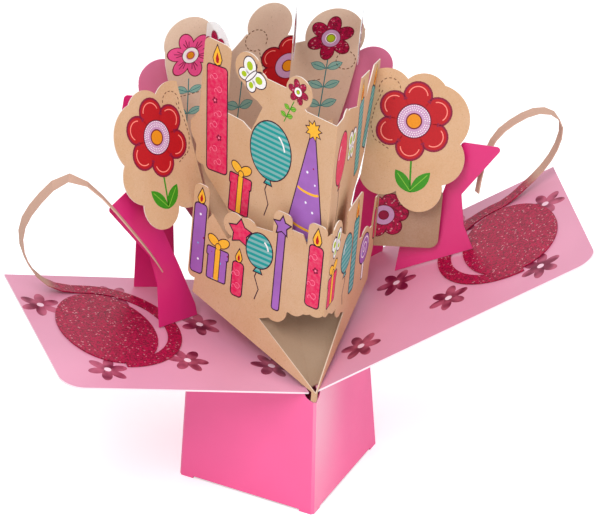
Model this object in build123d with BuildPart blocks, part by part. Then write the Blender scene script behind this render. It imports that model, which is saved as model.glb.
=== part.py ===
from build123d import *
import os
from math import atan, cos, degrees, radians, sin, tan

os.makedirs("parts", exist_ok=True)

# A pop up card that stands on a four-sided base box. The two covers spread as wings, and a bouquet
# of folded kraft layers rises between them.
# X runs from the left wing to the right one, Y from the front corner to the back one, Z is up.
# The origin is under the front fold of the box, at the floor. Sizes in mm, angles in degrees.

# Stock
board = 0.8
sheet = 0.5
film = 0.3
seat_gap = 0.2

# Base box: centre to corner, at the floor and at the rim
floor_half_width = 44.7
floor_half_depth = 49.9
rim_half_width = 40.5
rim_half_depth = 53.4
box_height = 60.0
fold_chamfer = 1.2
stock_overrun = 6.0
notch_radius = 3.4
back_notch_radius = 7.0
foot_length = 7.0
foot_height = 1.0

# Wings
wing_width = 92.0
left_wing_length = 111.0
right_wing_length = 132.0
wing_inner_gap = 2.0
wing_front_radius = 9.0
wing_back_radius = 5.5
left_wing_rise = 11.9
right_wing_rise = 23.3
left_wing_sweep = 1.5
right_wing_sweep = 6.8
left_wing_bank = 3.2
right_wing_bank = -3.2

# Bouquet: everything above the box leans to the right about the rim
bouquet_lean = 5.0

# Lower banner, a folded layer with two legs that meet in the front notch
lower_reach = 70.0
lower_half_angle = 34.6
lower_fold_depth = 53.0
lower_height = 76.0
lower_leg_rise = 23.6
lower_window_reach = 33.0
lower_window_rise = 24.5
lower_window_top = 40.0
lower_tip_drop = 2.6

# Upper banner
upper_reach = 84.0
upper_half_angle = 29.7
upper_fold_depth = 47.5
upper_foot = 46.0
upper_height = 124.0

# Die-cut borders
border_radius = 3.0

# Kraft core, the inclined folded wall behind the window
core_back_slope = 36.9
core_side_slope = 21.3
core_front_depth = 46.0
core_front_height = 1.0

# Petals sheet
petal_sheet_depth = 46.0
petal_fold_offset = 10.6
petal_turn = 6.0
petal_reach = 60.5
petal_height = 134.0
petal_notch_height = 116.0
petal_body_foot = 42.0
petal_shoulder = 6.0
petal_stem_width = 7.5
petal_stem_drop = 12.0

# Rear cover
rear_cover_depth = 50.0
rear_cover_turn = 5.0
rear_cover_reach = 57.0
rear_cover_lobe_height = 113.0
rear_cover_saddle_height = 96.0
rear_cover_lobe_radius = 9.5
rear_cover_tip_width = 5.0
rear_cover_tip_drop = 6.0

# Scalloped panels
scallop_turn = 29.0
scallop_lean = 26.0
scallop_centre_across = 57.2
scallop_centre_depth = 14.0
scallop_centre_height = 92.3
scallop_width = 45.0
scallop_height = 60.0

# Corner panel, below the right scalloped panel
corner_panel_depth = 9.0
corner_panel_inner = 31.3
corner_panel_turn = 14.0
corner_panel_width = 38.0
corner_panel_foot = 38.0
corner_panel_height = 29.0
corner_panel_radius = 4.0

# Struts
left_strut_foot_across = 31.0
left_strut_foot_depth = 10.0
right_strut_foot_across = 52.0
right_strut_foot_depth = 8.5
strut_turn = 32.0
left_strut_lean = 11.0
right_strut_lean = 5.7
strut_width = 54.0
strut_height = 77.0
strut_corner_radius = 1.5
rear_strut_foot_across = 38.0
rear_strut_foot_depth = 34.0
rear_strut_turn = 4.0
rear_strut_width = 31.0
rear_strut_height = 104.0

# Clear discs
disc_radius = 12.0
disc_stem_width = 8.0
disc_stand_off = 12.6
left_disc_across = 27.5
left_disc_height = 122.0
left_disc_heading = 105.0
middle_disc_across = 7.0
middle_disc_height = 128.0
middle_disc_heading = 72.6
right_disc_across = 36.5
right_disc_height = 124.0
right_disc_heading = 68.0

# Glitter spirals. The plate lies on the wing, and the ring round it rises as a strip
left_spiral_reach = 78.0
right_spiral_reach = 102.0
spiral_depth = 48.0
spiral_width = 43.0
spiral_length = 56.0
spiral_ring_radius = 30.0
spiral_ring_shift = 2.0
strip_width = 6.0
strip_reach = 30.0
strip_sweep = 46.0
strip_rise = 74.0
strip_sections = 20


# The front fold's foot is at the origin, so the box's middle lies behind it
wall_inset = board / cos(atan(floor_half_width / floor_half_depth))
fold_setback = fold_chamfer * cos(atan(floor_half_width / floor_half_depth))
box_middle = floor_half_depth - fold_setback - wall_inset / 2


def cover_plane(side, rise, sweep, bank):
    """Plane of a wing: X outwards along its front edge, Y towards the back, from the front notch."""
    out = Vector(side * cos(radians(rise)), 0, sin(radians(rise)))
    up = Vector(-side * sin(radians(rise)), 0, cos(radians(rise)))
    back = Vector(0, 1, 0) * cos(radians(bank)) + up * sin(radians(bank))
    out = out.rotate(Axis.Z, side * -sweep)
    back = back.rotate(Axis.Z, side * -sweep)
    return Plane((0, box_middle - floor_half_depth, box_height), x_dir=out, z_dir=out.cross(back))


def in_bouquet(place):
    """Carry a plane from the upright bouquet to the leaning one."""
    return Plane(Location((0, box_middle, box_height), (0, bouquet_lean, 0)) * place.location)


def panel_plane(foot, heading, lean_back=0.0):
    """Plane of an upright panel: X along it at a heading from +X, Y up it, leaning to its back."""
    turn = radians(heading)
    lean = radians(lean_back)
    normal = (cos(lean) * sin(turn), -cos(lean) * cos(turn), sin(lean))
    return in_bouquet(Plane(foot, x_dir=(cos(turn), sin(turn), 0), z_dir=normal))


def points(shares, width, height):
    """An outline given in shares of a width and a height."""
    return [(across * width, up * height) for across, up in shares]


def thicken(thickness):
    """Give the pending outline its thickness, half on each side of its plane."""
    extrude(amount=thickness / 2, both=True)


def keep_side(plane, point):
    """Trim the part being built at a plane, keeping the side that a point is on."""
    above = (Vector(point) - plane.origin).dot(plane.z_dir) > 0
    split(bisect_by=plane, keep=Keep.TOP if above else Keep.BOTTOM)


left_wing_plane = cover_plane(-1, left_wing_rise, left_wing_sweep, left_wing_bank)
right_wing_plane = cover_plane(1, right_wing_rise, right_wing_sweep, right_wing_bank)
wing_planes = {-1: left_wing_plane, 1: right_wing_plane}


def wing_underside(side, gap):
    """The wing's plane moved down by half a board and a gap."""
    plane = wing_planes[side]
    down = -1 if plane.z_dir.Z > 0 else 1
    return plane.offset(down * (board / 2 + gap))


def wing_top(side, gap):
    """The wing's plane moved up by half a board and a gap."""
    plane = wing_planes[side]
    up = 1 if plane.z_dir.Z > 0 else -1
    return plane.offset(up * (board / 2 + gap))


# Base box
stock_height = box_height + floor_half_width * tan(radians(right_wing_rise)) + stock_overrun
rim_growth = stock_height / box_height


def box_section(height, share, inset):
    """A rhombus with pressed corners, at a height that is a share of the way to the rim."""
    half_width = floor_half_width + (rim_half_width - floor_half_width) * share - inset
    half_depth = floor_half_depth + (rim_half_depth - floor_half_depth) * share - inset
    with BuildSketch(Plane((0, box_middle, height))) as section:
        Polygon((half_width, 0), (0, half_depth), (-half_width, 0), (0, -half_depth), align=None)
        chamfer(section.vertices(), fold_chamfer)
    return section.sketch


with BuildPart() as base_box:
    add(box_section(0, 0, 0))
    add(box_section(stock_height, rim_growth, 0))
    loft(ruled=True)
    add(box_section(0, 0, wall_inset))
    add(box_section(stock_height, rim_growth, wall_inset))
    loft(ruled=True, mode=Mode.SUBTRACT)
    for side in (-1, 1):
        with BuildPart(wing_underside(side, seat_gap), mode=Mode.PRIVATE) as room:
            upward = Align.MIN if wing_planes[side].z_dir.Z > 0 else Align.MAX
            Box(4 * wing_width, 4 * wing_width, 2 * stock_height, align=(Align.CENTER, Align.CENTER, upward))
            split(bisect_by=Plane.YZ, keep=Keep.TOP if side > 0 else Keep.BOTTOM)
        add(room.part, mode=Mode.SUBTRACT)
    with Locations((0, box_middle - rim_half_depth, box_height)):
        Cylinder(notch_radius, 4 * notch_radius, rotation=(90, 0, 0), mode=Mode.SUBTRACT)
    with Locations((0, box_middle + rim_half_depth, box_height)):
        Cylinder(back_notch_radius, 4 * notch_radius, rotation=(90, 0, 0), mode=Mode.SUBTRACT)
    for side in (-1, 1):
        for end in (-1, 1):
            middle = (side * floor_half_width / 2, box_middle + end * floor_half_depth / 2)
            heading = degrees(atan(floor_half_depth / floor_half_width)) * -side * end
            face_length = (floor_half_width**2 + floor_half_depth**2) ** 0.5
            with BuildSketch(Plane.XY) as relief:
                with Locations(Location((middle[0], middle[1], 0), (0, 0, heading))):
                    Rectangle(face_length - 2 * foot_length, 6 * board)
            extrude(amount=foot_height, mode=Mode.SUBTRACT)
base_box.part.label = "base_box"
export_step(base_box.part, "parts/base_box.step")


# Wings
def build_wing(side, length):
    """A cover board with round outer corners."""
    with BuildPart() as wing:
        with BuildSketch(wing_planes[side]) as outline:
            with Locations(((wing_inner_gap + length) / 2, wing_width / 2)):
                Rectangle(length - wing_inner_gap, wing_width)
            outer = outline.vertices().sort_by(Axis.X)[-2:].sort_by(Axis.Y)
            fillet(outer[0], wing_front_radius)
            fillet(outer[-1], wing_back_radius)
        thicken(board)
    return wing.part


left_wing = build_wing(-1, left_wing_length)
left_wing.label = "left_wing"
export_step(left_wing, "parts/left_wing.step")

right_wing = build_wing(1, right_wing_length)
right_wing.label = "right_wing"
export_step(right_wing, "parts/right_wing.step")


# Bouquet layers
def arm_plane(side, fold_depth, half_angle, clearance=0.0):
    """Plane of one arm of a folded layer: X from the fold outwards, Y up. A clearance moves it inwards."""
    inward = clearance / sin(radians(half_angle))
    return panel_plane((0, inward - fold_depth, 0), 90 - side * half_angle)


def die_cut(body, talls, rounds, reach, height):
    """A die-cut outline on one side of a fold: a body, tall motifs and round ones, all in shares."""
    Polygon(*points(body, reach, height), align=None)
    for centre, foot, top, width in talls:
        with Locations((centre * reach, (foot + top) / 2 * height)):
            RectangleRounded(width * reach, (top - foot) * height, border_radius)
    for centre, up, radius in rounds:
        with Locations((centre * reach, up * height)):
            Circle(radius * reach)
    with Locations((-reach, 0)):
        Rectangle(2 * reach, 4 * height, mode=Mode.SUBTRACT)


def build_layer(fold_depth, half_angle, reach, height, arms):
    """A sheet folded along its middle, with an outline of its own on each arm."""
    with BuildPart() as layer:
        for side, (body, talls, rounds) in arms.items():
            with BuildSketch(arm_plane(side, fold_depth, half_angle)):
                die_cut(body, talls, rounds, reach, height)
            thicken(sheet)
    return layer.part


tip_share = -lower_tip_drop / lower_height
leg_share = lower_leg_rise / lower_height
window_shares = [
    (lower_window_reach / lower_reach, lower_window_rise / lower_height),
    (0.36, 0.37),
    (0.24, 0.45),
    (0.12, 0.47),
    (0.0, lower_window_top / lower_height),
]
leg_tip_shares = [(0.0, 0.02), (0.0, tip_share), (0.03, tip_share), (0.03, 0.02), (0.98, leg_share)]

# Each tall motif is its middle, foot, top and width. Each round one is its middle, height and radius.
lower_left_body_shares = [
    *leg_tip_shares,
    (0.97, 0.43),
    (1.0, 0.65),
    (0.88, 0.83),
    (0.75, 0.715),
    (0.6, 0.86),
    (0.4, 0.88),
    (0.28, 0.94),
    (0.2, 0.94),
    (0.15, 0.86),
    (0.0, 1.01),
]
lower_left_tall_shares = [(0.97, 0.4, 0.98, 0.115), (0.354, 0.5, 1.02, 0.136), (0.093, 0.5, 1.035, 0.14)]
lower_left_round_shares = [(0.71, 0.82, 0.08), (0.61, 0.82, 0.08)]
lower_right_body_shares = [
    *leg_tip_shares,
    (0.99, 0.41),
    (1.05, 0.515),
    (1.19, 0.645),
    (1.276, 0.81),
    (1.164, 0.82),
    (1.104, 0.73),
    (1.107, 0.81),
    (1.0, 0.815),
    (0.97, 0.65),
    (0.7, 0.68),
    (0.31, 0.88),
    (0.24, 0.92),
    (0.0, 1.01),
]
lower_right_tall_shares = [(0.52, 0.5, 1.0, 0.32)]
lower_right_round_shares = [(0.13, 0.92, 0.12), (0.82, 0.6, 0.11)]

# The wavy hem over the window, on both arms
hem_round_shares = [(0.36, 0.43, 0.09), (0.22, 0.515, 0.09), (0.07, 0.56, 0.09)]
for body_shares in (lower_left_body_shares, lower_right_body_shares):
    body_shares += window_shares[::-1]
for round_shares in (lower_left_round_shares, lower_right_round_shares):
    round_shares += hem_round_shares

lower_banner = build_layer(
    lower_fold_depth,
    lower_half_angle,
    lower_reach,
    lower_height,
    {
        -1: (lower_left_body_shares, lower_left_tall_shares, lower_left_round_shares),
        1: (lower_right_body_shares, lower_right_tall_shares, lower_right_round_shares),
    },
)
lower_banner.label = "lower_banner"
export_step(lower_banner, "parts/lower_banner.step")

foot_share = upper_foot / upper_height
upper_left_body_shares = [
    (0.0, foot_share),
    (0.52, foot_share),
    (0.67, 0.52),
    (0.82, 0.6),
    (0.95, 0.74),
    (0.955, 0.77),
    (0.885, 0.835),
    (0.75, 0.86),
    (0.61, 0.857),
    (0.55, 0.837),
    (0.487, 0.94),
    (0.63, 0.995),
    (0.506, 1.05),
    (0.33, 1.05),
    (0.2, 1.0),
    (0.0, 1.0),
]
upper_left_tall_shares = [(0.813, 0.63, 1.1, 0.18)]
upper_left_round_shares = [(0.87, 0.75, 0.08), (0.6, 1.053, 0.09), (0.53, 1.01, 0.08), (0.26, 1.055, 0.085)]
upper_right_body_shares = [
    (0.0, foot_share),
    (0.45, foot_share),
    (0.68, 0.54),
    (0.77, 0.567),
    (0.888, 0.627),
    (0.97, 0.722),
    (1.05, 0.824),
    (1.125, 0.871),
    (1.12, 0.909),
    (0.949, 0.938),
    (0.783, 0.868),
    (0.824, 0.956),
    (0.607, 0.993),
    (0.558, 0.9),
    (0.335, 0.961),
    (0.13, 0.983),
    (0.0, 1.0),
]
upper_right_round_shares = [(0.22, 0.93, 0.09)]

upper_banner = build_layer(
    upper_fold_depth,
    upper_half_angle,
    upper_reach,
    upper_height,
    {
        -1: (upper_left_body_shares, upper_left_tall_shares, upper_left_round_shares),
        1: (upper_right_body_shares, [], upper_right_round_shares),
    },
)
upper_banner.label = "upper_banner"
export_step(upper_banner, "parts/upper_banner.step")

# Petals sheet: two petals on the left arm, one on the right
petal_stem_share = petal_fold_offset / petal_reach
half_stem_share = petal_stem_width / 2 / petal_reach
body_foot_share = petal_body_foot / petal_height
stem_foot_share = -petal_stem_drop / petal_height
petal_shoulder_share = petal_shoulder / petal_height
notch_share = petal_notch_height / petal_height
left_petal_body_shares = [
    (petal_stem_share - half_stem_share, stem_foot_share),
    (petal_stem_share + half_stem_share, stem_foot_share),
    (petal_stem_share + half_stem_share, petal_shoulder_share),
    (0.6, body_foot_share),
    (0.82, 0.6),
    (0.96, 0.84),
    (0.98, 0.92),
    (0.62, 0.92),
    (0.46, notch_share),
    (0.36, 0.92),
    (0.0, 0.9),
    (0.0, body_foot_share),
    (petal_stem_share - half_stem_share, petal_shoulder_share),
]
left_petal_round_shares = [(0.79, 0.915, 0.193), (0.185, 0.945, 0.17)]
right_petal_body_shares = [
    (0.0, body_foot_share),
    (0.25, body_foot_share),
    (0.44, 0.7),
    (0.52, 0.92),
    (0.0, 0.87),
]
right_petal_round_shares = [(0.305, 0.895, 0.215)]


def petal_plane(side, clearance=0.0):
    """Plane of the petals sheet on one side of its fold. A clearance moves it forwards."""
    turn = side * petal_turn
    heading = -turn if side > 0 else 180 - turn
    return panel_plane((petal_fold_offset, petal_sheet_depth - clearance, 0), heading)


with BuildPart() as petals:
    with BuildSketch(petal_plane(-1)):
        die_cut(left_petal_body_shares, [], left_petal_round_shares, petal_reach, petal_height)
    thicken(sheet)
    with BuildSketch(petal_plane(1)):
        die_cut(right_petal_body_shares, [], right_petal_round_shares, petal_reach, petal_height)
    thicken(sheet)
petals.part.label = "petals"
export_step(petals.part, "parts/petals.step")

# Rear cover
half_tip_share = rear_cover_tip_width / 2 / rear_cover_reach
rear_body_shares = [
    (0.0, -rear_cover_tip_drop / rear_cover_lobe_height),
    (half_tip_share, -rear_cover_tip_drop / rear_cover_lobe_height),
    (half_tip_share, 0.0),
    (0.6, 0.4),
    (0.95, 0.75),
    (1.0, 0.9),
    (0.75, 0.92),
    (0.5, 0.86),
    (0.0, rear_cover_saddle_height / rear_cover_lobe_height),
]
rear_lobe_share = rear_cover_lobe_radius / rear_cover_reach
rear_round_shares = [(1 - rear_lobe_share, 0.915, rear_lobe_share)]


def rear_plane(side):
    """Plane of the rear cover on one side of its fold."""
    return panel_plane((0, rear_cover_depth, 0), -rear_cover_turn if side > 0 else 180 + rear_cover_turn)


with BuildPart() as rear_cover:
    for side in (-1, 1):
        with BuildSketch(rear_plane(side)):
            die_cut(rear_body_shares, [], rear_round_shares, rear_cover_reach, rear_cover_lobe_height)
        thicken(sheet)
rear_cover.part.label = "rear_cover"
export_step(rear_cover.part, "parts/rear_cover.step")

# Kraft core: two inclined faces that meet in a valley above the front corner
bouquet_middle = in_bouquet(Plane.YZ)
core_half_width = corner_panel_inner - seat_gap


def core_plane(side):
    """Plane of one face of the core: X outwards, through the front of its valley fold."""
    out = Vector(side * cos(radians(core_side_slope)), 0, sin(radians(core_side_slope)))
    along = Vector(0, cos(radians(core_back_slope)), sin(radians(core_back_slope)))
    return in_bouquet(Plane((0, -core_front_depth, core_front_height), x_dir=out, z_dir=out.cross(along)))


def in_bouquet_point(across, depth, height):
    """A point given in the upright bouquet, carried to the leaning one."""
    return in_bouquet(Plane((across, depth, height))).origin


behind_sheet = sheet / 2 + seat_gap
with BuildPart() as kraft_core:
    for side in (-1, 1):
        with BuildPart() as face:
            with BuildSketch(core_plane(side)):
                Rectangle(4 * core_half_width, 4 * petal_height)
            thicken(sheet)
            inside = in_bouquet_point(side * core_half_width / 2, 0, core_half_width)
            keep_side(bouquet_middle, inside)
            keep_side(in_bouquet(Plane.XZ.offset(core_front_depth)), inside)
            keep_side(in_bouquet(Plane.YZ.offset(side * core_half_width)), inside)
            keep_side(arm_plane(side, lower_fold_depth, lower_half_angle, behind_sheet), inside)
            keep_side(petal_plane(-1, behind_sheet), inside)
            keep_side(petal_plane(1, behind_sheet), inside)
kraft_core.part.label = "kraft_core"
export_step(kraft_core.part, "parts/kraft_core.step")


# Scalloped panels
def scallop_plane(side, back=0.0):
    """Plane of a scalloped panel: X outwards, Y up it. It can be moved towards its back."""
    heading = -scallop_turn if side > 0 else 180 + scallop_turn
    foot = (side * scallop_centre_across, scallop_centre_depth, scallop_centre_height)
    plane = panel_plane(foot, heading, side * scallop_lean)
    return plane.offset(-side * back)


# Each lobe is an arc through three points, in shares of the panel's width and height from its flower
scallop_lobe_shares = [
    ((-0.5, 0.27), (-0.3, 0.345), (-0.12, 0.288)),
    ((-0.12, 0.288), (0.067, 0.348), (0.24, 0.283)),
    ((0.24, 0.283), (0.5, 0.133), (0.469, -0.108)),
    ((0.469, -0.108), (0.533, -0.242), (0.358, -0.418)),
    ((0.358, -0.418), (0.211, -0.625), (-0.064, -0.507)),
    ((-0.064, -0.507), (-0.24, -0.55), (-0.42, -0.46)),
]


def build_scallop(side):
    """A scalloped panel, whose inner edge stands against the upper banner."""
    with BuildPart() as panel:
        with BuildSketch(scallop_plane(side)):
            with BuildLine():
                for arc in scallop_lobe_shares:
                    ThreePointArc(*points(arc, scallop_width, scallop_height))
                foot, head = scallop_lobe_shares[-1][-1], scallop_lobe_shares[0][0]
                inner_shares = [foot, (-1, foot[1]), (-1, head[1]), head]
                Polyline(*points(inner_shares, scallop_width, scallop_height))
            make_face()
        thicken(sheet)
        outside = in_bouquet_point(side * scallop_centre_across, scallop_centre_depth, scallop_centre_height)
        keep_side(arm_plane(side, upper_fold_depth, upper_half_angle, -behind_sheet), outside)
    return panel.part


left_scallop_panel = build_scallop(-1)
left_scallop_panel.label = "left_scallop_panel"
export_step(left_scallop_panel, "parts/left_scallop_panel.step")

right_scallop_panel = build_scallop(1)
right_scallop_panel.label = "right_scallop_panel"
export_step(right_scallop_panel, "parts/right_scallop_panel.step")


# Corner panel, below the right scalloped panel and behind it, with its inner edge on the core
corner_panel_base = (corner_panel_inner, corner_panel_depth, corner_panel_foot)
with BuildPart() as corner_panel:
    with BuildSketch(panel_plane(corner_panel_base, -corner_panel_turn)):
        with Locations((corner_panel_width / 2, corner_panel_height / 2)):
            RectangleRounded(corner_panel_width, corner_panel_height, corner_panel_radius)
    thicken(sheet)
    keep_side(wing_top(1, seat_gap), (0, 0, 4 * box_height))
    keep_side(scallop_plane(1, behind_sheet), in_bouquet_point(0, petal_sheet_depth, 0))
    outside = in_bouquet_point(corner_panel_inner + corner_panel_width, 0, 0)
    keep_side(arm_plane(1, lower_fold_depth, lower_half_angle, -behind_sheet), outside)
corner_panel.part.label = "corner_panel"
export_step(corner_panel.part, "parts/corner_panel.step")

# Struts, waisted tabs from the wings to the scalloped panels
left_strut_shares = [
    (-0.03, -0.2),
    (0.5, -0.2),
    (0.49, 0.12),
    (0.47, 0.38),
    (0.53, 0.56),
    (0.965, 0.93),
    (0.67, 1.0),
    (0.5, 0.9),
    (0.2, 0.42),
    (0.06, 0.18),
]
right_strut_shares = [
    (-0.04, -0.2),
    (0.75, -0.2),
    (0.687, 0.42),
    (0.52, 0.64),
    (0.47, 0.82),
    (0.757, 1.136),
    (0.424, 1.125),
    (0.3, 0.75),
    (0.03, 0.45),
]


def build_strut(side, foot, lean, shares):
    """A waisted tab that stands on a wing and passes behind the scalloped panel."""
    heading = -strut_turn if side > 0 else 180 + strut_turn
    with BuildPart() as strut:
        with BuildSketch(panel_plane(foot, heading, side * lean)) as outline:
            Polygon(*points(shares, strut_width, strut_height), align=None)
            fillet(outline.vertices(), strut_corner_radius)
        thicken(sheet)
        keep_side(wing_top(side, seat_gap + sheet + seat_gap), (0, 0, 4 * box_height))
        keep_side(scallop_plane(side, behind_sheet), in_bouquet_point(0, petal_sheet_depth, 0))
    return strut.part


left_strut_foot = (-left_strut_foot_across, left_strut_foot_depth, 0)
left_strut = build_strut(-1, left_strut_foot, left_strut_lean, left_strut_shares)
left_strut.label = "left_strut"
export_step(left_strut, "parts/left_strut.step")

right_strut_foot = (right_strut_foot_across, right_strut_foot_depth, 0)
right_strut = build_strut(1, right_strut_foot, right_strut_lean, right_strut_shares)
right_strut.label = "right_strut"
export_step(right_strut, "parts/right_strut.step")

# Rear struts, narrower tabs behind the bouquet
rear_strut_shares = [
    (-0.1, -0.1),
    (0.55, -0.1),
    (0.6, 0.4),
    (0.45, 0.6),
    (0.95, 0.93),
    (0.93, 1.0),
    (0.55, 0.98),
    (0.1, 0.5),
]


def build_rear_strut(side):
    """A pointed tab that stands on a wing near its back edge."""
    foot = (side * rear_strut_foot_across, rear_strut_foot_depth, 0)
    heading = -rear_strut_turn if side > 0 else 180 + rear_strut_turn
    with BuildPart() as strut:
        with BuildSketch(panel_plane(foot, heading)) as outline:
            Polygon(*points(rear_strut_shares, rear_strut_width, rear_strut_height), align=None)
            fillet(outline.vertices(), strut_corner_radius)
        thicken(sheet)
        keep_side(wing_top(side, seat_gap), (0, 0, 4 * box_height))
    return strut.part


rear_left_strut = build_rear_strut(-1)
rear_left_strut.label = "rear_left_strut"
export_step(rear_left_strut, "parts/rear_left_strut.step")

rear_right_strut = build_rear_strut(1)
rear_right_strut.label = "rear_right_strut"
export_step(rear_right_strut, "parts/rear_right_strut.step")


# Clear discs, each on a stem against the petals sheet
def build_disc(side, across, height, heading):
    """A film disc whose stem reaches back to the petals sheet."""
    turn = radians(heading)
    centre_depth = petal_sheet_depth - disc_stand_off
    with BuildPart() as disc:
        with BuildSketch(panel_plane((across, centre_depth, height), heading)):
            Circle(disc_radius)
            with Locations((disc_stand_off / 2, 0)):
                Rectangle(2 * disc_stand_off, disc_stem_width)
        thicken(film)
        in_front = in_bouquet_point(across, centre_depth, height)
        keep_side(petal_plane(side, behind_sheet), in_front)
    return disc.part


left_disc = build_disc(-1, -left_disc_across, left_disc_height, left_disc_heading)
left_disc.label = "left_disc"
export_step(left_disc, "parts/left_disc.step")

middle_disc = build_disc(1, middle_disc_across, middle_disc_height, middle_disc_heading)
middle_disc.label = "middle_disc"
export_step(middle_disc, "parts/middle_disc.step")

right_disc = build_disc(1, right_disc_across, right_disc_height, right_disc_heading)
right_disc.label = "right_disc"
export_step(right_disc, "parts/right_disc.step")

# Glitter spirals. A strip's points go outwards, forwards and up from the end of its ring
left_strip_shares = [
    (0.63, 0.1, 0.13),
    (1.03, 0.28, 0.52),
    (0.8, 0.5, 0.82),
    (0.43, 0.61, 0.95),
    (0.03, 0.73, 0.84),
    (-0.3, 0.82, 0.66),
    (-0.6, 0.76, 0.47),
    (-0.83, 0.63, 0.30),
]
right_strip_shares = [
    (0.33, 0.01, 0.085),
    (0.67, 0.03, 0.22),
    (0.89, 0.07, 0.39),
    (0.9, 0.11, 0.54),
    (0.6, 0.17, 0.65),
    (0.09, 0.23, 0.62),
    (-0.14, 0.27, 0.57),
    (-0.29, 0.31, 0.5),
    (-0.4, 0.34, 0.39),
    (-0.49, 0.38, 0.25),
]


def build_spiral(side, reach, strip_shares):
    """A glitter spiral: an oval plate on the wing, with a ring round it whose end is lifted as a strip."""
    plate_plane = wing_top(side, seat_gap + sheet / 2)
    ring_depth = spiral_depth + spiral_ring_shift
    with BuildPart() as spiral:
        with BuildSketch(plate_plane):
            with Locations((reach, spiral_depth)):
                Ellipse(spiral_width / 2, spiral_length / 2)
        thicken(sheet)
        with BuildSketch(plate_plane):
            with Locations((reach, ring_depth)):
                Circle(spiral_ring_radius + strip_width / 2)
                Circle(spiral_ring_radius - strip_width / 2, mode=Mode.SUBTRACT)
            with Locations((reach + 2 * spiral_ring_radius, ring_depth)):
                Rectangle(4 * spiral_ring_radius, 4 * spiral_ring_radius, mode=Mode.SUBTRACT)
        thicken(sheet)
        start = plate_plane.from_local_coords((reach, ring_depth + spiral_ring_radius, 0))
        before = plate_plane.from_local_coords((reach - strip_width / 2, ring_depth + spiral_ring_radius, 0))
        after = plate_plane.from_local_coords((reach + strip_width / 2, ring_depth + spiral_ring_radius, 0))
        path_points = [before, start, after]
        for out, forward, up in strip_shares:
            step = Vector(side * out * strip_reach, -forward * strip_sweep, up * strip_rise)
            path_points.append(start + step)
        path = Spline(*path_points)
        for section in range(strip_sections + 1):
            share = section / strip_sections
            along = path % share
            across = plate_plane.y_dir - along * along.dot(plate_plane.y_dir)
            with BuildSketch(Plane(path @ share, x_dir=across, z_dir=along)):
                Rectangle(strip_width, sheet)
        loft(ruled=True)
    return spiral.part


left_glitter_spiral = build_spiral(-1, left_spiral_reach, left_strip_shares)
left_glitter_spiral.label = "left_glitter_spiral"
export_step(left_glitter_spiral, "parts/left_glitter_spiral.step")

right_glitter_spiral = build_spiral(1, right_spiral_reach, right_strip_shares)
right_glitter_spiral.label = "right_glitter_spiral"
export_step(right_glitter_spiral, "parts/right_glitter_spiral.step")
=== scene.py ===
import math

import bmesh
import bpy
from mathutils import Matrix, Vector
from mathutils.geometry import tessellate_polygon


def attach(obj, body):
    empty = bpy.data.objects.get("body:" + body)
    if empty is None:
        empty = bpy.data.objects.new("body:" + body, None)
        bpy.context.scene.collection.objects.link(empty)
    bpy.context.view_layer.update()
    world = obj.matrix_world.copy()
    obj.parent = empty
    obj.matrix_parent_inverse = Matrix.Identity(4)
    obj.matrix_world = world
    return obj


bl_info = {
    "name": "Pop up card dresser",
    "version": (1, 0, 0),
    "blender": (4, 5, 0),
    "location": "View3D > Sidebar > Card",
    "description": "Boards, prints, foils and glitter for a standing pop up card",
    "category": "Object",
}

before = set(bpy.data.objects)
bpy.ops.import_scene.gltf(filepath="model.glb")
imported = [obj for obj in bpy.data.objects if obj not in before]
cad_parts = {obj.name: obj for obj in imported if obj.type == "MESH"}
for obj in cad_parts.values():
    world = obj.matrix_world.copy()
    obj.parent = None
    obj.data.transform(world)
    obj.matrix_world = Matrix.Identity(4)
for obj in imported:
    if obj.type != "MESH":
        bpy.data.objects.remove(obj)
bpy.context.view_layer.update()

MM = 0.001
ROOT = "root"

# Places that the card's sheets share with the model, in mm and degrees
SHEET, BOARD, FILM = 0.5, 0.8, 0.3
BOX_HEIGHT = 60.0
FLOOR_HALF_WIDTH, FLOOR_HALF_DEPTH = 44.7, 49.9
BOX_MIDDLE = 48.469
BOUQUET_LEAN = 5.0
UPPER_FOLD, UPPER_HALF_ANGLE = 47.5, 29.7
LOWER_FOLD, LOWER_HALF_ANGLE = 53.0, 34.6
PETAL_DEPTH, PETAL_FOLD, PETAL_TURN = 46.0, 10.6, 6.0
SCALLOP_ACROSS, SCALLOP_DEPTH, SCALLOP_HEIGHT = 57.2, 14.0, 92.3
SCALLOP_TURN, SCALLOP_LEAN = 29.0, 26.0
CORNER_FOOT, CORNER_TURN = (31.3, 9.0, 38.0), 14.0
WING_POSES = {-1: (11.9, 1.5, 3.2), 1: (23.3, 6.8, -3.2)}
DISCS = {
    "left_disc": (-27.5, 122.0, 105.0),
    "middle_disc": (7.0, 128.0, 72.6),
    "right_disc": (36.5, 124.0, 68.0),
}
DISC_DEPTH = PETAL_DEPTH - 12.6


class Face:
    """The printed side of a sheet, where a place is mm across it, up it and out from it."""

    def __init__(self, origin, across, up, out, thickness):
        self.origin = Vector(origin)
        self.across = Vector(across).normalized()
        self.up = Vector(up).normalized()
        self.out = Vector(out).normalized()
        self.half = thickness / 2

    def at(self, across, up, out=0.0):
        """A place on the sheet, in metres."""
        return (self.origin + self.across * across + self.up * up + self.out * (self.half + out)) * MM

    def carry(self, mesh):
        """Lay a mesh drawn flat in metres on the sheet. A mirrored face turns its normals round."""
        basis = Matrix((self.across, self.up, self.out)).transposed()
        mesh.transform(Matrix.Translation(self.at(0, 0)) @ basis.to_4x4())
        if basis.determinant() < 0:
            mesh.flip_normals()


def leaning(vector):
    return Matrix.Rotation(math.radians(BOUQUET_LEAN), 3, "Y") @ Vector(vector)


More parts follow.
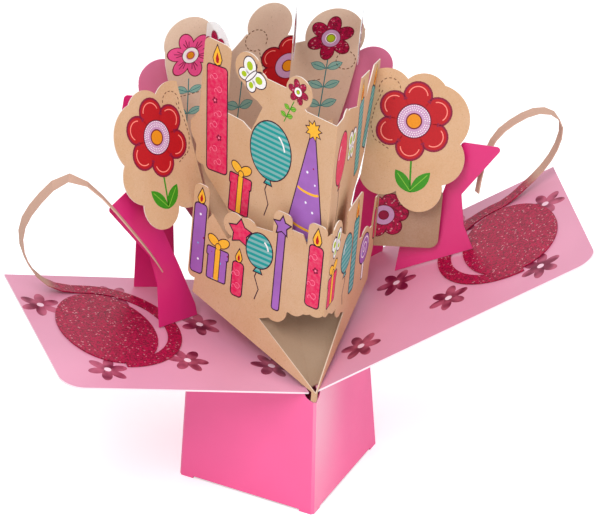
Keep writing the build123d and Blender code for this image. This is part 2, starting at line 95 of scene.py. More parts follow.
def panel_face(side, foot, heading, lean_back=0.0, thickness=SHEET):
    """The printed side of an upright panel of the bouquet, placed as the model places it."""
    turn, back = math.radians(heading), math.radians(lean_back)
    normal = Vector((math.cos(back) * math.sin(turn), -math.cos(back) * math.cos(turn), math.sin(back)))
    across = Vector((math.cos(turn), math.sin(turn), 0))
    origin = leaning(foot) + Vector((0, BOX_MIDDLE, BOX_HEIGHT))
    return Face(origin, leaning(across), leaning(normal.cross(across)), leaning(normal * side), thickness)


def wing_face(side):
    """The upper side of a cover, from the front notch."""
    rise, sweep, bank = (math.radians(value) for value in WING_POSES[side])
    out = Vector((side * math.cos(rise), 0, math.sin(rise)))
    up = Vector((-side * math.sin(rise), 0, math.cos(rise)))
    back = Vector((0, 1, 0)) * math.cos(bank) + up * math.sin(bank)
    swing = Matrix.Rotation(-side * sweep, 3, "Z")
    out, back = swing @ out, swing @ back
    return Face((0, BOX_MIDDLE - FLOOR_HALF_DEPTH, BOX_HEIGHT), out, back, out.cross(back) * side, BOARD)


def outward(side, turn):
    """Heading of a panel that runs outwards on one side and turns to the front."""
    return -turn if side > 0 else 180 + turn


FACES = {}
for name, side in (("left", -1), ("right", 1)):
    scallop = (side * SCALLOP_ACROSS, SCALLOP_DEPTH, SCALLOP_HEIGHT)
    FACES[f"upper_{name}"] = panel_face(side, (0, -UPPER_FOLD, 0), 90 - side * UPPER_HALF_ANGLE)
    FACES[f"lower_{name}"] = panel_face(side, (0, -LOWER_FOLD, 0), 90 - side * LOWER_HALF_ANGLE)
    FACES[f"petals_{name}"] = panel_face(side, (PETAL_FOLD, PETAL_DEPTH, 0), outward(side, PETAL_TURN))
    FACES[f"scallop_{name}"] = panel_face(side, scallop, outward(side, SCALLOP_TURN), side * SCALLOP_LEAN)
    FACES[f"wing_{name}"] = wing_face(side)
FACES["corner"] = panel_face(1, CORNER_FOOT, -CORNER_TURN)
for name, (across, up, heading) in DISCS.items():
    FACES[f"{name}_front"] = panel_face(1, (across, DISC_DEPTH, up), heading, thickness=FILM)
    FACES[f"{name}_back"] = panel_face(-1, (across, DISC_DEPTH, up), heading, thickness=FILM)


def rgb(red, green, blue):
    """A colour written as it looks on screen, 0 to 255, in linear light."""
    shown = (red / 255, green / 255, blue / 255)
    return tuple(c / 12.92 if c <= 0.04045 else ((c + 0.055) / 1.055) ** 2.4 for c in shown)


def colour_setting(name, description, colour):
    return bpy.props.FloatVectorProperty(
        name=name, description=description, subtype="COLOR", size=3, min=0.0, max=1.0, default=colour
    )


def length_setting(name, description, mm):
    return bpy.props.FloatProperty(name=name, description=description, default=mm * MM, unit="LENGTH")


class CARD_PG_colours(bpy.types.PropertyGroup):
    """Colours of the boards and the main inks"""

    box: colour_setting("Box", "Coated board of the base box", rgb(250, 96, 158))
    strut: colour_setting("Struts", "Board of the waisted tabs", rgb(224, 36, 122))
    cover: colour_setting("Covers", "Upper side of the two covers", rgb(228, 153, 182))
    # painted shade: the rear cover is the covers' light pink board, set darker and pinker for the shade it
    # stands in
    rear: colour_setting("Rear cover", "Board behind the bouquet", rgb(222, 122, 160))
    kraft: colour_setting("Kraft", "Recycled board of the bouquet", rgb(204, 157, 112))
    glitter: colour_setting("Glitter", "Glitter paper of the spirals", rgb(184, 6, 70))
    strip_back: colour_setting("Strip back", "Plain back of the glitter paper", rgb(206, 166, 146))
    crimson: colour_setting("Crimson", "Ink of the large candles", rgb(222, 20, 84))
    teal: colour_setting("Teal", "Ink of the striped motifs", rgb(0, 150, 146))
    lilac: colour_setting("Lilac", "Ink of the dotted motifs", rgb(166, 104, 190))
    foil: colour_setting("Foil", "Stamped foil of the covers", rgb(190, 14, 94))


class CARD_PG_sizes(bpy.types.PropertyGroup):
    """Sizes of the print and the foils"""

    outline: length_setting("Outline", "Dark line round a motif", 0.55)
    ink: length_setting("Ink", "Height of one layer of ink", 0.02)
    foil_reach: length_setting("Foil flower", "From its middle to a tip", 9.2)
    dash: length_setting("Dash", "Length of a dash", 1.1)
    dash_pitch: length_setting("Dash pitch", "From one dash to the next", 1.9)
    flakes: bpy.props.FloatProperty(
        name="Glitter", description="Flakes in a metre", default=1700.0, min=100.0
    )


# Node trees
def math_node(operation, turned=False):
    """A method that adds a Math node, with its operands the other way round if it is turned."""

    def method(self, other=0.0):
        operands = (other, self) if turned else (self, other)
        return self.nodes.node("ShaderNodeMath", {"operation": operation}, dict(enumerate(operands)))

    return method


class Value:
    """An output of a node, which takes part in sums that add their Math nodes."""

    def __init__(self, nodes, socket):
        self.nodes, self.socket = nodes, socket

    __add__ = __radd__ = math_node("ADD")
    __sub__, __rsub__ = math_node("SUBTRACT"), math_node("SUBTRACT", turned=True)
    __mul__ = __rmul__ = math_node("MULTIPLY")
    __gt__, __lt__ = math_node("GREATER_THAN"), math_node("LESS_THAN")
    __abs__ = math_node("ABSOLUTE")
    greater = math_node("MAXIMUM")


class Nodes:
    """A node tree under construction."""

    def __init__(self, tree):
        self.tree = tree

    def node(self, kind, settings=None, inputs=None, output=0):
        """Add a node, with its settings first, and give back one of its outputs."""
        made = self.tree.nodes.new(kind)
        for key, setting in (settings or {}).items():
            setattr(made, key, setting)
        for key, value in (inputs or {}).items():
            if isinstance(value, Value):
                self.tree.links.new(value.socket, made.inputs[key])
            elif made.inputs[key].type == "RGBA":
                made.inputs[key].default_value = (*value, 1.0)
            else:
                made.inputs[key].default_value = value
        return Value(self, made.outputs[output]) if made.outputs else None


class Finish(Nodes):
    """A material under construction, with one Principled shader."""

    def __init__(self, name, roughness=0.6, **settings):
        self.material = bpy.data.materials.new(name)
        self.material.use_nodes = True
        super().__init__(self.material.node_tree)
        self.shader = self.tree.nodes["Principled BSDF"]
        self.shader.inputs["Roughness"].default_value = roughness
        for socket, amount in settings.items():
            self.shader.inputs[socket.replace("_", " ")].default_value = amount

    def place(self):
        return self.node("ShaderNodeTexCoord", output="Object")

    def printed(self):
        """The print's own map, in mm across and up its sheet."""
        return self.node("ShaderNodeUVMap", {"uv_map": "sheet_mm"})

    def normal(self):
        return self.node("ShaderNodeTexCoord", output="Normal")

    def vector(self, operation, first, second, output=0):
        return self.node("ShaderNodeVectorMath", {"operation": operation}, {0: first, 1: second}, output)

    def noise(self, vector, scale, detail=3.0, roughness=0.55):
        inputs = {"Vector": vector, "Scale": scale, "Detail": detail, "Roughness": roughness}
        return self.node("ShaderNodeTexNoise", {}, inputs)

    def cells(self, vector, scale, output="Distance", randomness=1.0):
        inputs = {"Vector": vector, "Scale": scale, "Randomness": randomness}
        return self.node("ShaderNodeTexVoronoi", {}, inputs, output)

    def shade(self, colour):
        return self.node("ShaderNodeSeparateColor", {}, {0: colour})

    def band(self, value, low, high, to_low=0.0, to_high=1.0):
        inputs = {0: value, 1: low, 2: high, 3: to_low, 4: to_high}
        return self.node("ShaderNodeMapRange", {"interpolation_type": "SMOOTHSTEP"}, inputs)

    def mix(self, share, first, second):
        return self.node("ShaderNodeMix", {"data_type": "RGBA"}, {0: share, 6: first, 7: second}, output=2)

    def feed(self, socket, value):
        self.tree.links.new(value.socket, self.shader.inputs[socket])

    def bump(self, height, depth_mm, strength=1.0):
        inputs = {"Height": height, "Distance": depth_mm * MM, "Strength": strength}
        self.feed("Normal", self.node("ShaderNodeBump", {}, inputs))

    def cut_edge(self, outs):
        """1 on the cut edges of a sheet and 0 on its broad sides, told by the directions of those sides."""
        normal = self.normal()
        broad = abs(self.vector("DOT_PRODUCT", normal, tuple(outs[0]), "Value"))
        for out in outs[1:]:
            broad = broad.greater(abs(self.vector("DOT_PRODUCT", normal, tuple(out), "Value")))
        return self.band(broad, 0.45, 0.6, 1.0, 0.0)


def darker(colour, share):
    return tuple(c * share for c in colour)


def paler(colour, share):
    return tuple(c + (1 - c) * share for c in colour)


def kraft_finish(name, colour, outs, painted_shade=0.0):
    """Recycled board: warm brown with short fibres, dark specks and a pale cut edge.

    A sheet can take painted shade: darker below a height of 0.1 m, for the little light that comes in there.
    """
    kraft = Finish(name, roughness=0.8, Specular_IOR_Level=0.3)
    place = kraft.place()
    clouds = kraft.band(kraft.noise(place, 45.0, 4.0), 0.3, 0.7)
    fibres = kraft.band(kraft.noise(place, 1400.0, 4.0, 0.7), 0.35, 0.72)
    specks = (kraft.cells(place, 800.0) < 0.17) * kraft.band(kraft.noise(place, 260.0), 0.42, 0.66)
    tint = kraft.mix(clouds * 0.4 + fibres * 0.4, paler(colour, 0.12), darker(colour, 0.94))
    tint = kraft.mix(specks * 0.55, tint, darker(colour, 0.6))
    # painted shade: the kraft darkens towards the bottom, below 0.1 m
    if painted_shade:
        up = kraft.node("ShaderNodeSeparateXYZ", {}, {0: place}, 2)
        tint = kraft.mix(kraft.band(up, 0.086, 0.104, painted_shade, 0.0), tint, darker(colour, 0.25))
    kraft.feed("Base Color", kraft.mix(kraft.cut_edge(outs) * 0.9, tint, paler(colour, 0.65)))
    kraft.bump(fibres, 0.05, 0.5)
    return kraft.material


def board_finish(name, colour, outs, roughness=0.42, coat=0.15, core=0.85, sheen_wall=None):
    """Coated card: an even colour with a soft sheen, a faint tooth and a white core at its cut edge.

    One wall can take a painted sheen: a pale reflection towards the front fold.
    """
    board = Finish(name, roughness=roughness, Coat_Weight=coat, Coat_Roughness=0.3)
    place = board.place()
    clouds = board.band(board.noise(place, 22.0, 2.0), 0.25, 0.75)
    tint = board.mix(clouds * 0.6, colour, darker(colour, 0.86))
    # painted sheen: a pale reflection on one wall, strongest at the front fold and higher up
    if sheen_wall:
        wall = board.band(board.vector("DOT_PRODUCT", board.normal(), tuple(sheen_wall), "Value"), 0.5, 0.9)
        across, up = (board.node("ShaderNodeSeparateXYZ", {}, {0: place}, axis) for axis in (0, 2))
        sheen_fade = board.band(across, 0.001, 0.026, 1.0, 0.0) * board.band(up, 0.0, 0.05, 0.35, 1.0)
        tint = board.mix(wall * sheen_fade * 0.55, tint, rgb(244, 206, 214))
    board.feed("Base Color", board.mix(board.cut_edge(outs) * core, tint, rgb(250, 236, 240)))
    board.feed("Roughness", board.noise(place, 400.0) * 0.12 + (roughness - 0.06))
    board.bump(board.noise(place, 1600.0, 2.0), 0.02, 0.4)
    return board.material


def ink_finish(name, colour, roughness=0.6):
    """Flat ink with the board's tooth under it."""
    ink = Finish(name, roughness=roughness, Specular_IOR_Level=0.3)
    tooth = ink.band(ink.noise(ink.place(), 1500.0, 2.0), 0.35, 0.7)
    ink.feed("Base Color", ink.mix(tooth * 0.5, colour, darker(colour, 0.84)))
    ink.bump(tooth, 0.02, 0.3)
    return ink.material


def crimson_finish(colour):
    """Crimson ink with a faint mottle and paler specks."""
    ink = Finish("crimson_ink", roughness=0.5, Specular_IOR_Level=0.35)
    sheet = ink.printed()
    mottle = ink.band(ink.noise(sheet, 0.5, 3.0), 0.35, 0.7)
    specks = ink.cells(sheet, 1.3) < 0.12
    tint = ink.mix(mottle * 0.5, colour, paler(colour, 0.12))
    ink.feed("Base Color", ink.mix(specks * 0.5, tint, paler(colour, 0.4)))
    ink.bump(mottle, 0.02, 0.4)
    return ink.material


def teal_finish(colour):
    """Level stripes in two tones."""
    ink = Finish("teal_ink", roughness=0.5, Specular_IOR_Level=0.35)
    up = ink.node("ShaderNodeSeparateXYZ", {}, {0: ink.printed()}, output=1)
    wave = ink.node("ShaderNodeMath", {"operation": "PINGPONG"}, {0: up, 1: 1.2})
    ink.feed("Base Color", ink.mix(ink.band(wave, 0.5, 0.7), colour, paler(colour, 0.2)))
    ink.bump(ink.noise(ink.place(), 1500.0, 2.0), 0.02, 0.3)
    return ink.material


def lilac_finish(colour):
    """Lilac with white, pale blue and dark pink dots."""
    ink = Finish("lilac_ink", roughness=0.5, Specular_IOR_Level=0.35)
    sheet = ink.printed()
    dots = ink.cells(sheet, 0.24, randomness=0.6) < 0.14
    kind = ink.shade(ink.cells(sheet, 0.24, "Color", randomness=0.6))
    dot = ink.mix(kind > 0.4, rgb(238, 238, 250), rgb(120, 176, 216))
    dot = ink.mix(kind > 0.66, dot, rgb(150, 20, 80))
    ground = ink.mix(ink.band(ink.noise(sheet, 0.05), 0.3, 0.7), colour, darker(colour, 0.8))
    ink.feed("Base Color", ink.mix(dots, ground, dot))
    ink.bump(ink.noise(ink.place(), 1500.0, 2.0), 0.02, 0.3)
    return ink.material


def flakes_of(glitter, place, colour, flakes):
    """Small flat flakes, each turned its own way: their colour, painted darker or with a pale glint for that
    turn, and their shade.
    """
    shade = glitter.shade(glitter.cells(place, flakes, "Color"))
    # painted shade and glints: flakes run from dark to full colour, and the rarest are pale
    tint = glitter.mix(glitter.band(shade, 0.1, 0.8), darker(colour, 0.4), colour)
    return glitter.mix(shade > 0.965, tint, paler(colour, 0.25)), shade


def glitter_finish(name, colour, flakes):
    """Glitter all over."""
    glitter = Finish(name, roughness=0.42, Specular_IOR_Level=0.3)
    tint, shade = flakes_of(glitter, glitter.place(), colour, flakes)
    glitter.feed("Base Color", tint)
    glitter.feed("Metallic", glitter.band(shade, 0.5, 0.9) * 0.3)
    glitter.bump(shade, 0.06, 0.6)
    return glitter.material


def spiral_finish(name, colours, flakes):
    """Glitter paper, which shows its plain back where the strip lifts off the cover."""
    paper = Finish(f"{name}_glitter_paper", Specular_IOR_Level=0.3)
    place, cover = paper.place(), FACES[f"wing_{name}"]
    tint, shade = flakes_of(paper, place, tuple(colours.glitter), flakes)
    from_cover = paper.vector("SUBTRACT", place, tuple(cover.at(0, 0)))
    back = paper.band(paper.vector("DOT_PRODUCT", from_cover, tuple(cover.out), "Value"), 0.003, 0.007)
    plain = tuple(colours.strip_back)
    plain_tint = paper.mix(paper.noise(place, 900.0), plain, darker(plain, 0.88))
    paper.feed("Base Color", paper.mix(back, tint, plain_tint))
    paper.feed("Metallic", paper.band(shade, 0.5, 0.9) * 0.3 * (1 - back))
    paper.feed("Roughness", back * 0.35 + 0.42)
    paper.bump(shade * (1 - back), 0.06, 0.6)
    return paper.material


def foil_finish(colour):
    """Stamped foil: dark pink metal, with painted light and shade of soft creases in its colour."""
    foil = Finish("foil", roughness=0.36, Metallic=0.35)
    place = foil.place()
    # painted light and shade of soft creases, in the foil's colour
    crease_light = foil.band(foil.noise(place, 150.0, 1.0), 0.32, 0.66)
    foil.feed("Base Color", foil.mix(crease_light, darker(colour, 0.4), paler(colour, 0.1)))
    foil.bump(foil.noise(place, 260.0, 1.0), 0.08, 0.5)
    return foil.material


def film_finish():
    """Clear film with a milky haze."""
    film = Finish("clear_film", roughness=0.16, Coat_Weight=0.4, Base_Color=(0.92, 0.94, 0.95, 1.0))
    film.feed("Alpha", film.band(film.noise(film.place(), 70.0), 0.3, 0.7, 0.5, 0.7))
    return film.material


INKS = {}

# Flat inks as they look on screen
PLAIN_INKS = {
    "plum": (52, 6, 40),
    "white": (246, 242, 240),
    "lime": (172, 196, 24),
    "red": (182, 6, 22),
    "red_deep": (108, 4, 38),
    "red_pale": (248, 138, 124),
    "blossom": (236, 80, 142),
    "blossom_pale": (248, 164, 192),
    "bead_lilac": (198, 150, 190),
    "yolk": (228, 140, 10),
    "stem": (52, 138, 12),
    "stem_pale": (132, 190, 60),
    "leaf": (36, 128, 132),
    "leaf_pale": (140, 184, 172),
    "trail": (112, 70, 46),
    "scribble": (140, 10, 56),
    "crimson_pale": (250, 128, 160),
    "flame": (250, 184, 50),
    "cover_dot": (244, 206, 222),
}


# Flat outlines, in mm
def ring_points(centre, radius, count=28, stretch=1.0, turn=0.0):
    """A circle, or an oval with its long axis along a turn and its other axis a share of it."""
    angles = [math.tau * i / count for i in range(count)]
    return moved([(radius * math.cos(a), radius * stretch * math.sin(a)) for a in angles], centre, turn)


def arc_path(centre, radius, start, end, steps=12, stretch=1.0):
    angles = [math.radians(start + (end - start) * step / steps) for step in range(steps + 1)]
    return [(centre[0] + radius * math.cos(a), centre[1] + radius * stretch * math.sin(a)) for a in angles]


def round_box(left, foot, right, top, radius=1.5):
    points = []
    for x, y, start in ((right, top, 0), (left, top, 90), (left, foot, 180), (right, foot, 270)):
        centre = (x - radius if x == right else x + radius, y - radius if y == top else y + radius)
        points += arc_path(centre, radius, start, start + 90, 4)
    return points


def moved(points, shift=(0, 0), turn=0.0, scale=1.0):
    cos, sin = math.cos(math.radians(turn)) * scale, math.sin(math.radians(turn)) * scale
    return [(x * cos - y * sin + shift[0], x * sin + y * cos + shift[1]) for x, y in points]


def leaf_points(base, tip, width, steps=8):
    """A pointed leaf between two points."""
    length = math.dist(base, tip)
    turn = math.degrees(math.atan2(tip[1] - base[1], tip[0] - base[0]))
    half = [(length * i / steps, width / 2 * math.sin(math.pi * i / steps) ** 0.8) for i in range(steps)]
    half.append((length, 0.0))
    return moved(half + [(x, -y) for x, y in half[-2:0:-1]], base, turn)


def star_points(centre, radius, tips=5, waist=0.5):
    reaches = [radius if step % 2 == 0 else radius * waist for step in range(2 * tips)]
    angles = [math.pi / 2 + math.pi * step / tips for step in range(2 * tips)]
    return [(centre[0] + r * math.cos(a), centre[1] + r * math.sin(a)) for r, a in zip(reaches, angles)]


def signed_area(points):
    return sum(a[0] * b[1] - b[0] * a[1] for a, b in zip(points, points[1:] + points[:1])) / 2


def grown(points, margin):
    """An outline moved outwards by a margin."""
    points = points if signed_area(points) > 0 else points[::-1]
    out = []
    for index, (x, y) in enumerate(points):
        before, after = points[index - 1], points[(index + 1) % len(points)]
        first = Vector((y - before[1], before[0] - x)).normalized()
        second = Vector((after[1] - y, x - after[0])).normalized()
        middle = first + second
        step = middle.normalized() * margin / max(middle.length / 2, 0.45)
        out.append((x + step.x, y + step.y))
    return out


def trimmed(points, least):
    """The part of an outline on the far side of a fold."""
    out = []
    for (x0, y0), (x1, y1) in zip(points, points[1:] + points[:1]):
        if x0 >= least:
            out.append((x0, y0))
        if (x0 >= least) != (x1 >= least):
            out.append((least, y0 + (y1 - y0) * (least - x0) / (x1 - x0)))
    return out


def stroke(path, width):
    """A ribbon of a width along a run of points."""
    left, right = [], []
    for index, (x, y) in enumerate(path):
        (x0, y0), (x1, y1) = path[max(index - 1, 0)], path[min(index + 1, len(path) - 1)]
        length = math.hypot(x1 - x0, y1 - y0) or 1
        nx, ny = -(y1 - y0) / length * width / 2, (x1 - x0) / length * width / 2
        left.append((x + nx, y + ny))
        right.append((x - nx, y - ny))
    return left + right[::-1]


def flat_mesh(name, points, edges=(), faces=()):
    mesh = bpy.data.meshes.new(name)
    mesh.from_pydata(points, edges, faces)
    return mesh


def add_object(name, data):
    made = bpy.data.objects.new(name, data)
    bpy.context.scene.collection.objects.link(made)
    return made


def add_piece(name, mesh):
    piece = add_object(name, mesh)
    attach(piece, ROOT)


class Print:
    """Ink on one face of a sheet, as thin closed layers. A later layer lies on an earlier one."""

    def __init__(self, face, least=None):
        sizes = bpy.context.scene.card_sizes
        self.face, self.least = FACES[face], least
        self.step, self.outline = sizes.ink / MM, sizes.outline / MM
        self.points, self.faces, self.slots, self.uvs, self.inks = [], [], [], [], []

    def lay(self, outline, ink, layer=0):
        """Fill an outline with ink."""
        if self.least is not None:
            outline = trimmed(outline, self.least)
        if len(outline) < 3 or abs(signed_area(outline)) < 1e-4:
            return
        if ink not in self.inks:
            self.inks.append(ink)
        count, start = len(outline), len(self.points)
        for height in (layer + 1, -1):
            self.points += [tuple(self.face.at(x, y, self.step * height)) for x, y in outline]
        self.uvs += outline + outline
        rows = tessellate_polygon([[Vector((x, y, 0)) for x, y in outline]])
        made = [tuple(start + i for i in row) for row in rows]
        made += [tuple(start + count + i for i in reversed(row)) for row in rows]
        for i in range(count):
            after = (i + 1) % count
            made.append((start + i, start + after, start + count + after, start + count + i))
        self.faces += made
        self.slots += [self.inks.index(ink)] * len(made)

    def edged(self, outline, ink, layer=1, edge=1.0, rim="plum"):
        """A fill with a dark line round it."""
        self.lay(grown(outline, self.outline * edge), rim, layer)
        self.lay(outline, ink, layer + 1)

    def line(self, path, width, ink, layer=1):
        self.lay(stroke(path, width), ink, layer)

    def make(self, name):
        mesh = flat_mesh(name, self.points, faces=self.faces)
        for ink in self.inks:
            mesh.materials.append(INKS[ink])
        mesh.polygons.foreach_set("material_index", self.slots)
        layer = mesh.uv_layers.new(name="sheet_mm")
        for loop in mesh.loops:
            layer.data[loop.index].uv = self.uvs[loop.vertex_index]
        work = bmesh.new()
        work.from_mesh(mesh)
        bmesh.ops.recalc_face_normals(work, faces=work.faces)
        work.to_mesh(mesh)
        work.free()
        add_piece(name, mesh)


# Geometry Nodes for what repeats
class Recipe(Nodes):
    """A Geometry Nodes tree under construction, with its sizes as named inputs."""

    def __init__(self, name, **sizes):
        super().__init__(bpy.data.node_groups.new(name, "GeometryNodeTree"))
        sockets = self.tree.interface
        sockets.new_socket("Geometry", in_out="INPUT", socket_type="NodeSocketGeometry")
        for label, amount in sizes.items():
            kind = "NodeSocketInt" if isinstance(amount, int) else "NodeSocketFloat"
            sockets.new_socket(label, in_out="INPUT", socket_type=kind).default_value = amount
        sockets.new_socket("Geometry", in_out="OUTPUT", socket_type="NodeSocketGeometry")
        self.start = self.tree.nodes.new("NodeGroupInput")
        self.end = self.tree.nodes.new("NodeGroupOutput")

    def size(self, label):
        return Value(self, self.start.outputs[label])

    def vector(self, x, y, z):
        return self.node("ShaderNodeCombineXYZ", {}, {0: x, 1: y, 2: z})

    def instances(self, points, body, rotation, scale=(1, 1, 1)):
        inputs = {"Points": points, "Instance": body, "Rotation": rotation, "Scale": scale}
        return self.node("GeometryNodeInstanceOnPoints", {}, inputs)

    def finish(self, geometry, material):
        """End the tree with real geometry and its material."""
        real = self.node("GeometryNodeRealizeInstances", {}, {0: geometry})
        dressed = self.node("GeometryNodeSetMaterial", {}, {"Geometry": real, "Material": material})
        self.tree.links.new(dressed.socket, self.end.inputs[0])
        return self.tree


def beads_tree(material, sides):
    """Beads, or dashes if they have no sides, along paths and turned with them."""
    recipe = Recipe("along_path", Pitch=0.002, Length=0.001, Width=0.0003, Height=0.00004)
    curve = recipe.node("GeometryNodeMeshToCurve", {}, {"Mesh": recipe.size("Geometry")})
    inputs = {"Curve": curve, "Length": recipe.size("Pitch")}
    spaced = recipe.node("GeometryNodeResampleCurve", {"mode": "LENGTH"}, inputs)
    if sides:
        body = recipe.node("GeometryNodeMeshCylinder", {}, {"Vertices": sides, "Radius": 0.5, "Depth": 1.0})
    else:
        body = recipe.node("GeometryNodeMeshCube", {}, {"Size": (1, 1, 1)})
    scale = recipe.vector(recipe.size("Length"), recipe.size("Width"), recipe.size("Height"))
    tangent = recipe.node("GeometryNodeInputTangent")
    along = recipe.node("FunctionNodeAlignRotationToVector", {"axis": "X"}, {"Vector": tangent})
    return recipe.finish(recipe.instances(spaced, body, along, scale), material)


def foil_tree(material):
    """A flower of oval petals on each point, each flower with its own turn."""
    recipe = Recipe("foil_flower", Petals=6, Reach=0.009, Height=0.00006, Seed=4)
    reach = recipe.size("Reach")
    ring_inputs = {"Vertices": recipe.size("Petals"), "Radius": reach * 0.56}
    ring = recipe.node("GeometryNodeMeshCircle", {}, ring_inputs)
    petal = recipe.node("GeometryNodeMeshCylinder", {}, {"Vertices": 20, "Radius": 1.0, "Depth": 1.0})
    size = recipe.vector(reach * 0.44, reach * 0.25, recipe.size("Height"))
    place = recipe.node("GeometryNodeInputPosition")
    spoke = recipe.node("FunctionNodeAlignRotationToVector", {"axis": "X"}, {"Vector": place})
    flower = recipe.instances(ring, petal, spoke, size)
    chance = recipe.node("FunctionNodeRandomValue", {"data_type": "FLOAT"}, {"Seed": recipe.size("Seed")}, 1)
    spin = recipe.node("FunctionNodeEulerToRotation", {}, {0: recipe.vector(0.0, 0.0, chance)})
    return recipe.finish(recipe.instances(recipe.size("Geometry"), flower, spin), material)


def grow(tree, points, edges, sizes):
    """The plain mesh that a tree makes from points and edges."""
    holder = add_object("seed", flat_mesh("seed", points, edges))
    modifier = holder.modifiers.new("grow", "NODES")
    modifier.node_group = tree
    for item in tree.interface.items_tree:
        if item.in_out == "INPUT" and item.name in sizes:
            modifier[item.identifier] = sizes[item.name]
    depsgraph = bpy.context.evaluated_depsgraph_get()
    mesh = bpy.data.meshes.new_from_object(holder.evaluated_get(depsgraph), depsgraph=depsgraph)
    holder.modifiers.remove(modifier)
    bpy.data.objects.remove(holder)
    if not mesh.polygons:
        raise RuntimeError(f"{tree.name} made nothing")
    return mesh


def lay_paths(name, face, paths, ink, pitch, length, width, sides=0, lift=3):
    """Dashes or beads along paths drawn on a face, in mm."""
    step = bpy.context.scene.card_sizes.ink
    points, edges = [], []
    for path in paths:
        edges += [(len(points) + i, len(points) + i + 1) for i in range(len(path) - 1)]
        points += [(x * MM, y * MM, step * lift / 2) for x, y in path]
    sizes = {"Pitch": pitch * MM, "Length": length * MM, "Width": width * MM, "Height": step * (lift + 2)}
    mesh = grow(beads_tree(INKS[ink], sides), points, edges, sizes)
    FACES[face].carry(mesh)
    add_piece(name, mesh)


def lay_trails(name, face, paths):
    """Stitched trails."""
    sizes = bpy.context.scene.card_sizes
    lay_paths(name, face, paths, "trail", sizes.dash_pitch / MM, sizes.dash / MM, 0.34)


def lay_rings(name, face, rings, ink, bead, pitch, lift=3):
    """Rings of beads, each a centre and a radius."""
    paths = [arc_path(centre, radius, 0, 360, 36) for centre, radius in rings]
    lay_paths(name, face, paths, ink, pitch, bead, bead, sides=8, lift=lift)


# Motifs
def blossom(
    sheet, centre, radius, ink, layer=1, turn=15.0, petal=(0.345, 1.0, 0.66), rim="red_deep", ring=0.43,
    ring_ink="bead_lilac", heart_ring="white", heart="yolk", vein=None, rays=(),
):
    """A flower of six edged petals, a ring and a centre. A petal is its size, roundness and reach.

    Rays are fine lines along each petal, each a turn from its middle.
    """
    size, roundness, reach = petal[0] * radius, petal[1], petal[2] * radius
    spots = [(point, turn + 60 * i) for i, point in enumerate(ring_points(centre, reach, 6, 1.0, turn))]
    for spot, spin in spots:
        sheet.lay(ring_points(spot, size + 0.05 * radius, 22, roundness, spin), rim, layer)
    for spot, spin in spots:
        sheet.lay(ring_points(spot, size, 22, roundness, spin), ink, layer + 1)
        if vein:
            arc = arc_path((0, 0), size * 0.74, -80, 80, 12, roundness)
            sheet.line(moved(arc, spot, spin), radius * 0.028, vein, layer + 2)
        for fan in rays:
            ray = [(-size * 0.9, 0), (size * (0.35 - abs(fan) / 60), math.tan(math.radians(fan)) * size)]
            sheet.line(moved(ray, spot, spin), radius * 0.03, rim, layer + 2)
    shares = (ring + 0.03, ring, ring * 0.6, ring * 0.5, ring * 0.42)
    for index, (share, tint) in enumerate(zip(shares, (rim, ring_ink, heart_ring, rim, heart))):
        sheet.lay(ring_points(centre, radius * share, 30), tint, layer + 2 + index)


def sprig(sheet, base, tip, pairs, width=2.6, length=6.0, rim="leaf", ink="leaf_pale"):
    """A stem with pairs of veined leaves."""
    sheet.line([base, tip], 0.45, rim)
    for share in pairs:
        x, y = base[0] + (tip[0] - base[0]) * share, base[1] + (tip[1] - base[1]) * share
        for side in (-1, 1):
            start, end = (x + side * 0.5, y + 0.1), (x + side * length * 0.92, y + length * 0.36)
            sheet.edged(leaf_points(start, end, width), ink, 1, 0.45, rim)
            sheet.line([start, (x + side * length * 0.8, y + length * 0.31)], 0.28, rim, 3)


def curls(sheet, width, height, shift, turn):
    """Pale open curls and small dark rosettes, by turns up a motif."""
    pitch, margin = 5.2, 2.0
    length = height - 2 * margin
    count = max(int(length / pitch), 1)
    for index in range(count):
        x = (0.16 if index % 2 else -0.16) * (width - 3.6)
        y = margin + (index + 0.5) * length / count
        if index % 3 == 2:
            for spot in ring_points((x, y), 1.0, 5) + [(x, y)]:
                ink = "crimson_pale" if spot == (x, y) else "scribble"
                sheet.lay(moved(ring_points(spot, 0.55, 8), shift, turn), ink, 4)
        else:
            for curl in (arc_path((x, y), 1.25, 40, 330), arc_path((x + 1.9, y - 0.9), 0.9, 160, -60, 8)):
                sheet.line(moved(curl, shift, turn), 0.25, "crimson_pale", 4)


def candle(sheet, middle, foot, top, width, ink, tilt=0.0, flame=9.0):
    """A party candle with a flame, tilted about its foot."""
    height, spot = top - foot - flame, (middle, foot)
    drop = [(0, 9.2), (1.7, 5.6), (2.4, 3.3), (1.7, 1.2), (0, 0.5), (-1.7, 1.2), (-2.4, 3.3), (-1.7, 5.6)]
    glow = [(0, 6.2), (1.0, 3.4), (0.7, 1.8), (0, 1.3), (-0.7, 1.8), (-1.0, 3.4)]
    drop, glow = (moved(moved(shape, (0, height), 0, flame / 9), spot, tilt) for shape in (drop, glow))
    sheet.edged(moved(round_box(-width / 2, 0, width / 2, height), spot, tilt), ink)
    sheet.edged(drop, "flame", edge=0.8)
    sheet.lay(glow, "red", 4)
    if ink == "crimson":
        curls(sheet, width, height, spot, tilt)


def balloon(sheet, centre, radius, ink, tail):
    x, y = centre
    knot = y - radius * 1.18
    string = [(1.4, 0.3), (-1.1, 0.65), (0.6, 1.0)]
    sheet.line([(x, knot)] + [(x + sway, knot - tail * share) for sway, share in string], 0.5, "plum")
    sheet.edged([(x - 1.8, knot - 2.0), (x + 1.8, knot - 2.0), (x, knot + 1.2)], ink)
    sheet.edged(ring_points(centre, radius, 34, 1.16), ink, 2)
    sheet.line(arc_path((x, y), radius * 0.7, 118, 165, 8, 1.15), 0.8, "white", 4)


